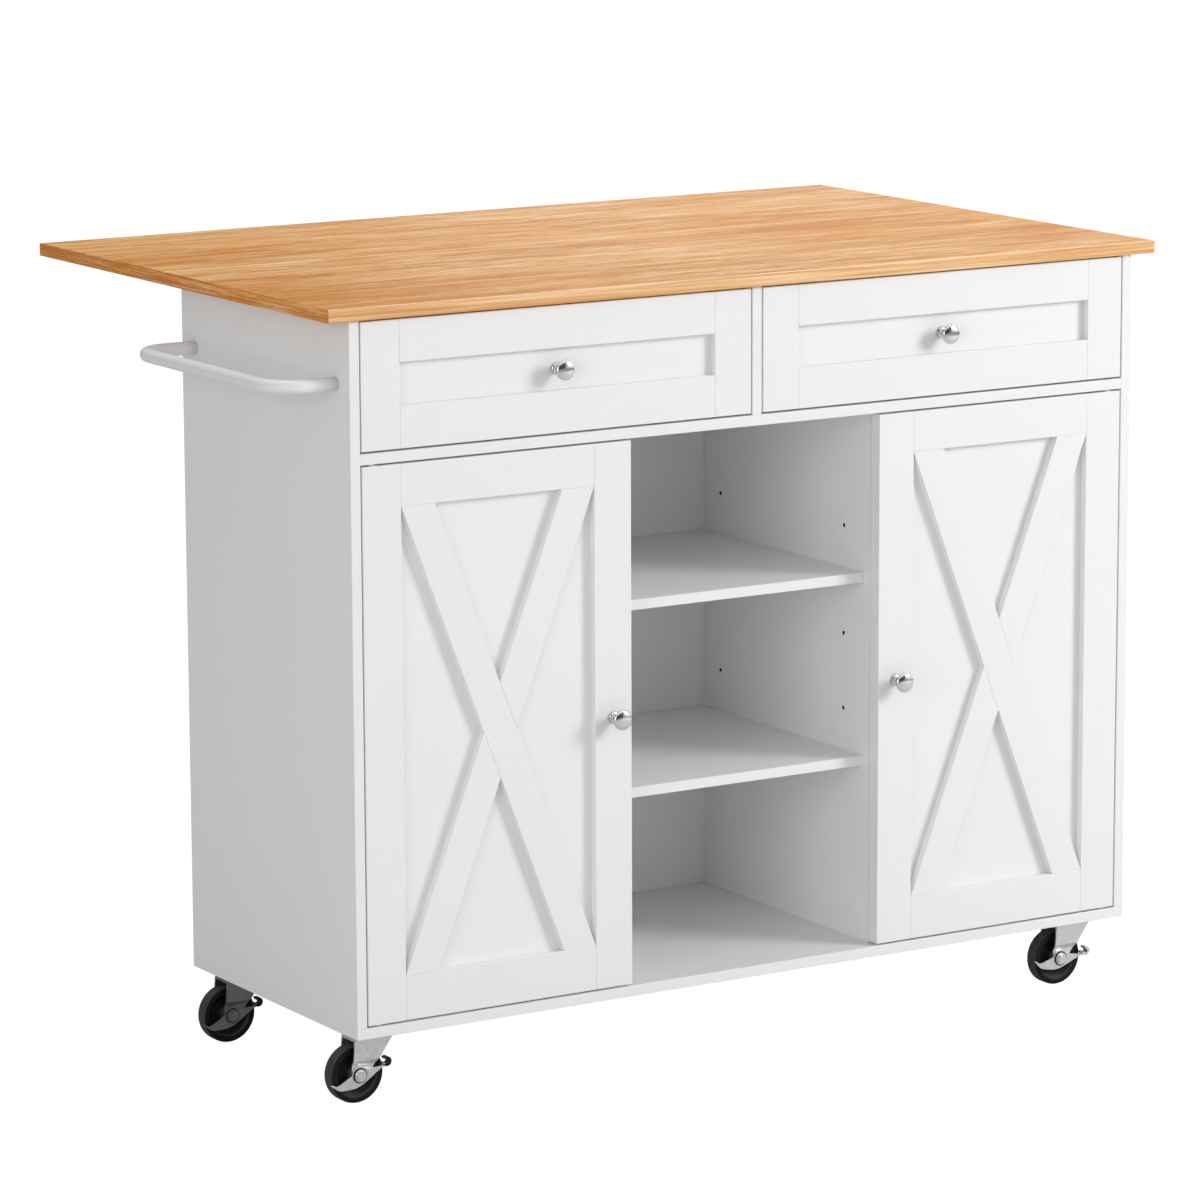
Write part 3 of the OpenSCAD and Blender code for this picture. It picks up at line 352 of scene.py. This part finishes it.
# ---- Knobs ----
# Turned and polished metal knobs: a foot, a waisted neck, a fine collar and a domed head,
# each held by a screw from behind the front.
def turned(name, profile, sides, centre, axis, material):
    """A closed body turned round an axis from (distance along it, radius) pairs, which start
    and end on the axis, or make a ring where the last pair is the first."""
    axis = Vector(axis).normalized()
    side = axis.orthogonal().normalized()
    other = axis.cross(side)
    centre = Vector(centre)
    shape = bmesh.new()
    rings = []
    for along, radius in profile:
        if radius < 1e-7:
            rings.append([shape.verts.new(centre + along * axis)])
        else:
            rings.append([shape.verts.new(centre + along * axis + radius * (
                math.cos(turn * math.tau / sides) * side
                + math.sin(turn * math.tau / sides) * other)) for turn in range(sides)])
    if profile[0] == profile[-1]:
        rings[-1] = rings[0]
    for first, second in zip(rings, rings[1:]):
        for turn in range(sides):
            after = (turn + 1) % sides
            corners = [first[turn % len(first)], first[after % len(first)],
                second[after % len(second)], second[turn % len(second)]]
            corners = list(dict.fromkeys(corners))
            if len(corners) > 2:
                shape.faces.new(corners).smooth = True
    loose = [vert for vert in shape.verts if not vert.link_faces]
    bmesh.ops.delete(shape, geom=loose, context="VERTS")
    bmesh.ops.recalc_face_normals(shape, faces=shape.faces)
    mesh = bpy.data.meshes.new(name)
    shape.to_mesh(mesh)
    shape.free()
    mesh.set_sharp_from_angle(angle=math.radians(38))
    mesh.materials.append(material)
    return placed(name, mesh)


polish = Finish("polished_nickel", Metallic=1.0)
hairs = polish.noise((1, 60, 1), 240.0, 2.0)
smears = polish.noise((1, 1, 1), 120.0, 2.0)
# Painted reflection: faces that look back to the board, under the head and on the neck, are toned
# dark for a dark room mirrored there
painted_dark_reflection = (polish.facing()[1] * 3.0 + 0.85).held()
bright = polish.blend(smears, (0.70, 0.70, 0.695, 1), (0.82, 0.82, 0.815, 1))
polish.set("Base Color", polish.blend(painted_dark_reflection, bright, (0.16, 0.16, 0.165, 1)))
polish.set("Roughness", 0.06 + 0.06 * smears + 0.04 * hairs)
polish.set("Normal", polish.relief(hairs, 0.00002, 0.2))
# The outline as shares of the knob's length and of its head's radius, foot to crown
flare = [(0.45 + 0.33 * math.sin(math.radians(angle)) ** 1.6,
    0.44 + 0.52 * (1 - math.cos(math.radians(angle))) ** 0.8) for angle in range(10, 91, 10)]
dome = [(0.84 + 0.16 * math.sin(math.radians(angle)), math.cos(math.radians(angle)) ** 0.9)
    for angle in range(0, 90, 6)]
knob_outline = [(0, 0), (0, 0.54), (0.02, 0.56), (0.08, 0.56), (0.11, 0.5), (0.13, 0.40),
    (0.2, 0.34), (0.30, 0.33), (0.36, 0.36), (0.375, 0.47), (0.40, 0.49), (0.425, 0.47),
    (0.435, 0.42)] + flare + [(0.80, 0.985)] + dome + [(1, 0)]
drawer_recess = 0.009
for kind, recess in (("drawer", drawer_recess), ("door", 0.0)):
    for side in ("left", "right"):
        node = f"{kind}_knob_{side}"
        low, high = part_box(node)
        middle_x, middle_z = (low.x + high.x) / 2, (low.z + high.z) / 2
        head = (high.z - low.z) / 2
        face_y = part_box(f"{kind}_frame_{side}")[0].y + recess
        tall = face_y - low.y
        knob = turned(node + ".turned", [(tall * along, head * out)
            for along, out in knob_outline], 64, (middle_x, face_y, middle_z), (0, -1, 0),
            polish.material)
        screw_head = 0.002
        screw = turned(node + ".screw", [(0, 0), (0, 0.0035), (0.0012, 0.004),
            (screw_head, 0.0032), (screw_head, 0)], 24,
            (middle_x, high.y - screw_head, middle_z), (0, 1, 0), zinc)
        for piece, finish in ((knob, "chrome"), (screw, "zinc_steel")):
            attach(piece, f"{kind}_{side}")
        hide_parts(node)


# ---- Casters ----
# Four swivel casters with a plate, a pressed fork, a moulded black wheel on a bolt and a
# stamped brake lever. The pedal ends are dipped in black plastic, but for the front right
# one, which is bare steel. The back pair has a darker tone, as the photo shows it in shade.
black = Finish("black_moulding", Specular_IOR_Level=0.2)
marks = black.noise((1, 1, 1), 45.0, 4.0, 0.6)
fine = black.noise((1, 1, 1), 700.0, 2.0)
sideways = black.facing()[1].size()
# Faces that look along Y take a darker black than the rim and edges
darker_axial_black = black.blend(marks, (0.003, 0.003, 0.0033, 1), (0.007, 0.007, 0.0074, 1))
lighter_rim_black = black.blend(marks, (0.04, 0.04, 0.041, 1), (0.06, 0.06, 0.061, 1))
black.set("Base Color", black.blend(sideways.above(0.75), lighter_rim_black, darker_axial_black))
black.set("Roughness", 0.42 + 0.16 * marks)
black.set("Normal", black.relief(fine, 0.00006, 0.3))
softened("caster_plates", "cabinet", zinc, 0.0003, 0.004)
# Painted shade: the back pair's zinc is toned darker than the front pair's
painted_shade_zinc = zinc_plate("shaded_zinc", 0.3, 0.42)
for place in ("front_left", "front_right", "back_left", "back_right"):
    steel = zinc if place.startswith("front") else painted_shade_zinc
    softened("fork_" + place, "fork_" + place, steel, 0.0004, 0.004)
    softened("lever_" + place, "lever_" + place, steel, 0.0003, 0.002)
    low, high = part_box("wheel_" + place)
    axle = (low + high) / 2
    # Half an outline: the hub's end, the web, the inside of the rim, then the tread's shoulder
    tread, hub = (high.z - low.z) / 2, (high.y - low.y) / 2
    half, shoulder = 0.009, 0.0032
    face = [(hub, 0.00415), (hub, 0.0082), (hub - 0.0012, 0.0095), (0.0062, 0.0102),
        (0.0048, 0.0120), (0.0044, 0.0135), (0.0044, 0.0205), (0.0050, tread - 0.0098),
        (0.0062, tread - 0.0086), (half - 0.0014, tread - 0.0078),
        (half - 0.0003, tread - 0.0070), (half, tread - 0.0060)]
    face += [(half - shoulder + shoulder * math.cos(math.radians(angle)),
        tread - shoulder + shoulder * math.sin(math.radians(angle)))
        for angle in range(0, 91, 10)]
    outline = face + [(-along, radius) for along, radius in reversed(face)] + [face[0]]
    wheel = turned("wheel_" + place + ".turned", outline, 96, axle, (0, 1, 0), black.material)
    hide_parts("wheel_" + place)
    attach(wheel, "wheel_" + place)
    # A black washer between the lever and the bolt's flange
    low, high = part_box("lever_" + place)
    washer = turned("lever_washer_" + place, [(0, 0.0076), (0.0009, 0.0076), (0.0009, 0.0087),
        (0.0006, 0.009), (0, 0.009), (0, 0.0076)], 48, (axle.x, high.y - 0.002, axle.z),
        (0, -1, 0), black.material)
    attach(washer, "lever_" + place)
    if place == "front_right":
        continue
    # The dipped end of the pedal: a thick C, a little over the rolled steel inside it
    at_x, at_z = 0.93 * tread, 0.40 * tread
    inside, outside, over = 0.0021, 0.0057, 0.0002
    dip = bmesh.new()
    rings = []
    for angle in range(-150, 126, 11):
        spoke = Vector((math.cos(math.radians(angle)), 0, math.sin(math.radians(angle))))
        ring = []
        for reach, y in ((inside, low.y - over), (inside, high.y + over),
                (outside, high.y + over), (outside, low.y - over)):
            x, z = at_x + reach * spoke.x, at_z + reach * spoke.z
            ring.append(dip.verts.new((axle.x + x, y, axle.z + z)))
        rings.append(ring)
    for first, second in zip(rings, rings[1:]):
        for corner in range(4):
            after = (corner + 1) % 4
            dip.faces.new((first[corner], first[after], second[after], second[corner]))
    dip.faces.new(rings[0])
    dip.faces.new(rings[-1])
    bmesh.ops.recalc_face_normals(dip, faces=dip.faces)
    bmesh.ops.bevel(dip, geom=[edge for edge in dip.edges if edge.calc_face_angle(0) > 1.0],
        offset=0.0007, segments=3, profile=0.5, affect="EDGES")
    for facet in dip.faces:
        facet.smooth = True
    mesh = bpy.data.meshes.new("pedal_dip_" + place)
    dip.to_mesh(mesh)
    dip.free()
    mesh.set_sharp_from_angle(angle=math.radians(40))
    mesh.materials.append(black.material)
    pedal = placed("pedal_dip_" + place, mesh)
    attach(pedal, "lever_" + place)


# ---- Leaf brackets ----
# Folded from white-coated strip steel. The wall legs are screwed to the back, the arms to the
# leaf, and a brace between them holds the leaf level.
softened("bracket_wall_legs", "cabinet", coat_white, 0.0003, 0.003)
softened("bracket_arms", "leaf", coat_white, 0.0003, 0.003)
for side in ("left", "right"):
    softened("bracket_brace_" + side, "brace_" + side, coat_white, 0.0003, 0.003)


# ---- Screws ----
# Zinc-plated pan-head and countersunk screws with a cross recess: casters, brackets, towel
# bar and worktop rails. One node group makes them all.
def screw_group():
    """A screw at each point of a mesh: a tapered head, cut by two crossed bars, on a shank."""
    group = bpy.data.node_groups.new("cross_recess_screws", "GeometryNodeTree")
    face = group.interface
    face.new_socket("Geometry", in_out="INPUT", socket_type="NodeSocketGeometry")
    for name in ("Head Radius", "Head Height", "Shank Radius", "Shank Length"):
        face.new_socket(name, in_out="INPUT", socket_type="NodeSocketFloat")
    face.new_socket("Turn", in_out="INPUT", socket_type="NodeSocketRotation")
    face.new_socket("Finish", in_out="INPUT", socket_type="NodeSocketMaterial")
    face.new_socket("Geometry", in_out="OUTPUT", socket_type="NodeSocketGeometry")

    def add(kind, settings, sockets):
        return wired(group, kind, settings, sockets)

    given = group.nodes.new("NodeGroupInput").outputs
    taper = add("ShaderNodeMath", {"operation": "MULTIPLY"}, {0: given["Head Radius"], 1: 0.62})
    head = add("GeometryNodeMeshCone", {}, {"Vertices": 28, "Depth": given["Head Height"],
        "Radius Bottom": given["Head Radius"], "Radius Top": taper.outputs[0]})
    shank = add("GeometryNodeMeshCylinder", {}, {"Vertices": 16,
        "Radius": given["Shank Radius"], "Depth": given["Shank Length"]})
    sink = add("ShaderNodeMath", {"operation": "MULTIPLY"}, {0: given["Shank Length"], 1: -0.5})
    down = add("ShaderNodeCombineXYZ", {}, {"Z": sink.outputs[0]})
    set_down = add("GeometryNodeTransform", {}, {"Geometry": shank.outputs["Mesh"],
        "Translation": down.outputs[0]})
    slot_long, slot_thin = [add("ShaderNodeMath", {"operation": "MULTIPLY"},
        {0: given["Head Radius"], 1: share}) for share in (1.05, 0.2)]
    bars = []
    for first, second in ((slot_long, slot_thin), (slot_thin, slot_long)):
        size = add("ShaderNodeCombineXYZ", {}, {"X": first.outputs[0], "Y": second.outputs[0],
            "Z": given["Head Height"]})
        bars.append(add("GeometryNodeMeshCube", {}, {"Size": size.outputs[0]}))
    lift = add("ShaderNodeCombineXYZ", {}, {"Z": given["Head Height"]})
    recess = add("GeometryNodeMeshBoolean", {"operation": "UNION"}, {})
    for bar_shape in bars:
        group.links.new(bar_shape.outputs["Mesh"], recess.inputs["Mesh 2"])
    lifted = add("GeometryNodeTransform", {}, {"Geometry": recess.outputs["Mesh"],
        "Translation": lift.outputs[0]})
    cut = add("GeometryNodeMeshBoolean", {"operation": "DIFFERENCE"},
        {"Mesh 1": head.outputs["Mesh"]})
    group.links.new(lifted.outputs["Geometry"], cut.inputs["Mesh 2"])
    joined = add("GeometryNodeJoinGeometry", {}, {})
    group.links.new(cut.outputs["Mesh"], joined.inputs["Geometry"])
    group.links.new(set_down.outputs["Geometry"], joined.inputs["Geometry"])
    planted = add("GeometryNodeInstanceOnPoints", {}, {"Points": given["Geometry"],
        "Instance": joined.outputs["Geometry"], "Rotation": given["Turn"]})
    real = add("GeometryNodeRealizeInstances", {}, {"Geometry": planted.outputs["Instances"]})
    painted = add("GeometryNodeSetMaterial", {}, {"Geometry": real.outputs["Geometry"],
        "Material": given["Finish"]})
    group.links.new(painted.outputs["Geometry"],
        group.nodes.new("NodeGroupOutput").inputs["Geometry"])
    return group


screw_tree = screw_group()


def screws(name, body, points, turn, head, tall, shank, long, node):
    """Like screws at the given points, driven along -Z of the given turn."""
    seeds = bpy.data.meshes.new(name + "_points")
    seeds.from_pydata(points, [], [])
    holder = placed(name + "_points", seeds)
    maker = holder.modifiers.new("screws", "NODES")
    maker.node_group = screw_tree
    values = {"Head Radius": head, "Head Height": tall, "Shank Radius": shank,
        "Shank Length": long, "Turn": turn, "Finish": zinc}
    for item in screw_tree.interface.items_tree:
        if item.in_out == "INPUT" and item.name in values:
            maker[item.identifier] = values[item.name]
    ready = holder.evaluated_get(bpy.context.evaluated_depsgraph_get())
    mesh = bpy.data.meshes.new_from_object(ready)
    mesh.name = name
    bpy.data.objects.remove(holder)
    bpy.data.meshes.remove(seeds)
    piece = placed(name, mesh)
    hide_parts(node)
    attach(piece, body)


# Four in each caster plate, at the corners of its hole pattern
plate_half_x, plate_half_y, hole_x, hole_y, plate_t = 0.029, 0.022, 0.022, 0.015, 0.0025
low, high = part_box("caster_plates")
plate_points = []
for plate_x in (low.x + plate_half_x, high.x - plate_half_x):
    for plate_y in (low.y + plate_half_y, high.y - plate_half_y):
        plate_points += [(plate_x + hole_x * i, plate_y + hole_y * j, high.z - plate_t)
            for i in (-1, 1) for j in (-1, 1)]
screws("caster_screws", "cabinet", plate_points, (math.pi, 0, 0), head=0.004, tall=0.0022,
    shank=0.0019, long=0.0105, node="cabinet_screws")

# Two in each bracket's wall leg and three in its arm
strip_t, bracket_off = 0.0015, 0.3
low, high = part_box("bracket_wall_legs")
leg_x = ((low.x + high.x) / 2 - bracket_off, (low.x + high.x) / 2 + bracket_off)
leg_top = high.z - 0.006
screws("leg_screws", "cabinet", [(x, low.y + strip_t, leg_top - drop)
    for x in leg_x for drop in (0.022, 0.078)], (-math.pi / 2, 0, 0), head=0.004, tall=0.0022,
    shank=0.0021, long=0.010, node="cabinet_screws")
pivot_y, arm_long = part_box("bracket_pins")[0].y + 0.004, 0.290
arm_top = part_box("drop_leaf")[0].z
screws("arm_screws", "leaf", [(x, pivot_y + arm_long * share, arm_top - strip_t)
    for x in leg_x for share in (0.15, 0.5, 0.85)], (math.pi, 0, 0), head=0.004, tall=0.0022,
    shank=0.0021, long=0.0095, node="leaf_screws")

# One in each end of the towel bar, from inside, and four in each worktop rail, from below
panel_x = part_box("side_panel_left")[1].x
screws("bar_screws", "cabinet", [(panel_x, y, bar_z) for y in (near_y, far_y)],
    (0, math.pi / 2, 0), head=0.005, tall=0.0026, shank=0.0024, long=0.022,
    node="cabinet_screws")
rail_mid, proud = 0.03, 0.0004
low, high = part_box("top_rails")
screws("rail_screws", "cabinet", [((low.x + high.x) / 2 + off, y, low.z + proud)
    for off in (-0.45024, -0.15008, 0.15008, 0.45024)
    for y in (low.y + rail_mid, high.y - rail_mid)], (math.pi, 0, 0), head=0.004,
    tall=proud, shank=0.0018, long=0.024, node="cabinet_screws")


# ---- Worktop and leaf ----
# Two boards faced with warm oak laminate whose grain runs along the island, edged with a
# banding of the same look. Their long arrises are eased, and a pale line along them is a painted
# highlight.
oak = Finish("oak_laminate", Specular_IOR_Level=0.16)
to_end, to_edge, upwards = oak.facing()
ends = to_end.size().above(0.7)
banded = to_edge.size().above(0.7)
# On the ends the grain runs across the island, so that it follows the edge there too
along, across, through = oak.split(oak.place)
crosswise = oak.add("ShaderNodeCombineXYZ", {}, {"X": across, "Y": along, "Z": through})
grain_at = oak.add("ShaderNodeMix", {"data_type": "VECTOR"},
    {"Factor": ends, 4: oak.place, 5: crosswise}, 1)
# Each layer of grain is given in cells a metre along, across and through the board
cloud = oak.noise((2.2, 5, 5), 1.0, 2.0, 0.5, 0.0, grain_at)
bands = oak.noise((2.4, 34, 170), 1.0, 2.5, 0.55, 0.08, grain_at)
streaks = oak.noise((4.0, 76, 300), 1.0, 3.0, 0.6, 0.05, grain_at)
dashes = oak.noise((11, 210, 520), 1.0, 3.5, 0.7, 0.05, grain_at)
specks = oak.noise((70, 420, 700), 1.0, 2.0, 0.7, 0.0, grain_at)
fibres = oak.noise((16, 800, 1100), 1.0, 3.0, 0.7, 0.0, grain_at)
wash = (bands * 0.3 + streaks * 0.3 + dashes * 0.34 + specks * 0.24 + cloud * 0.1
    - 0.152).held()
tint = oak.ramp(wash, (
    (0.42, (0.57, 0.21, 0.032)), (0.48, (0.67, 0.305, 0.066)), (0.52, (0.735, 0.39, 0.125)),
    (0.56, (0.79, 0.48, 0.205)), (0.62, (0.86, 0.62, 0.37))))
pale = ((dashes - 0.515) * 11.0).held() * ((cloud - 0.36) * 5.0).held()
dark = ((fibres - 0.53) * 6.0).held()
amber = ((bands - 0.55) * 10.0).held()
deeper = oak.blend(amber * 0.5, tint, (0.67, 0.255, 0.038, 1))
flecked = oak.blend(pale * 0.55, deeper, (0.88, 0.72, 0.52, 1))
toned = oak.blend(dark * 0.2, flecked, (0.58, 0.24, 0.05, 1))
lipping = oak.blend(((streaks - 0.40) * 4.0).held(), (0.71, 0.36, 0.14, 1),
    (0.95, 0.64, 0.375, 1))
edged = oak.blend(banded * 0.85, toned, lipping)
capped = oak.blend(ends, edged, (1.07, 0.89, 0.70, 1), "MULTIPLY")
# Painted highlight: the colour pales on the arrises, where a line of light would fall
painted_arris_highlight = (to_edge.size() * upwards * 2.4).held()
oak.set("Base Color", oak.blend(painted_arris_highlight * 0.55, capped, (0.96, 0.80, 0.60, 1)))
oak.set("Roughness", 0.30 + 0.14 * fibres)
oak.set("Normal", oak.relief(fibres - dark * 0.6, 0.00008, 0.35))
for node, body in (("worktop", "cabinet"), ("drop_leaf", "leaf")):
    softened(node, body, oak.material, 0.0013, 0.0035)


# ---- Studio ----
# A wide pale floor that runs into a white surround, and soft light from all round. Four
# lamps add to it: the main one at the front right, which models the fronts and the knobs, a
# weak one at the left, and two that lift the worktop from above and behind.
floor = bpy.data.meshes.new("studio_floor")
floor.from_pydata([(-30, -30, 0), (30, -30, 0), (30, 30, 0), (-30, 30, 0)], [], [(0, 1, 2, 3)])
ground = placed("studio_floor", floor)
paper = Finish("studio_paper", Base_Color=(0.6, 0.6, 0.6, 1), Roughness=0.9)
seen = paper.add("ShaderNodeLightPath", {}, {}, "Is Camera Ray")
glow = paper.add("ShaderNodeEmission", {}, {"Color": (1, 1, 1, 1), "Strength": 1.22})
mixed = paper.add("ShaderNodeMixShader", {}, {"Fac": seen * 0.8})
paper.tree.links.new(paper.shader.outputs[0], mixed.socket.node.inputs[1])
paper.tree.links.new(glow.socket, mixed.socket.node.inputs[2])
paper.tree.links.new(mixed.socket, paper.tree.nodes["Material Output"].inputs["Surface"])
floor.materials.append(paper.material)

surround = bpy.data.worlds.new("studio_surround")
scene.world = surround
surround.use_nodes = True
air = surround.node_tree

# Polished metal sees a dim room with a bright ceiling and a white wall at the front right,
# matt surfaces an even grey, and the camera plain white
rays = wired(air, "ShaderNodeLightPath", {}, {}).outputs
heading = wired(air, "ShaderNodeTexCoord", {}, {}).outputs["Generated"]
towards = wired(air, "ShaderNodeSeparateXYZ", {}, {"Vector": heading}).outputs
ceiling, to_right, to_front = [wired(air, "ShaderNodeMapRange",
    {"interpolation_type": "SMOOTHSTEP"}, {"Value": towards[axis], "From Min": start,
    "From Max": end, "To Min": dim, "To Max": bright}).outputs["Result"]
    for axis, start, end, dim, bright in (("Z", 0.25, 0.75, 0.06, 1.0),
    ("X", 0.3, 0.68, 0.0, 0.95), ("Y", 0.4, 0.1, 0.0, 1.0))]
wall = wired(air, "ShaderNodeMath", {"operation": "MULTIPLY"}, {0: to_right, 1: to_front})
room = wired(air, "ShaderNodeMath", {"operation": "MAXIMUM"},
    {0: ceiling, 1: wall.outputs["Value"]})
even_grey, plain_white = 0.47, 1.0
mirrored = wired(air, "ShaderNodeMix", {}, {"Factor": rays["Is Glossy Ray"], "A": even_grey,
    "B": room.outputs["Value"]})
strength = wired(air, "ShaderNodeMix", {}, {"Factor": rays["Is Camera Ray"],
    "A": mirrored.outputs["Result"], "B": plain_white})
back_light = air.nodes["Background"]
back_light.inputs["Color"].default_value = (1, 1, 1, 1)
air.links.new(strength.outputs["Result"], back_light.inputs["Strength"])


def soft_light(name, place, target, wide, tall, watts):
    """A rectangular lamp that looks at a point, itself unseen."""
    lamp = bpy.data.lights.new(name, "AREA")
    lamp.shape, lamp.size, lamp.size_y, lamp.energy = "RECTANGLE", wide, tall, watts
    light = bpy.data.objects.new(name, lamp)
    light.location = place
    light.rotation_euler = (Vector(target) - Vector(place)).to_track_quat("-Z", "Y").to_euler()
    light.visible_camera = False
    scene.collection.objects.link(light)


soft_light("front_right_light", (3.2, -3.3, 2.3), (0.1, -0.2, 0.5), 1.6, 1.6, 122)
soft_light("left_fill", (-3.4, -2.6, 1.3), (0.1, -0.1, 0.5), 2.0, 2.0, 36)
soft_light("back_right_sheen", (3.4, 3.4, 2.0), (0.4, 0.1, 0.9), 3.2, 1.8, 12)
soft_light("top_light", (0.5, 0.5, 3.4), (0.2, 0.1, 0.9), 1.6, 1.2, 36)
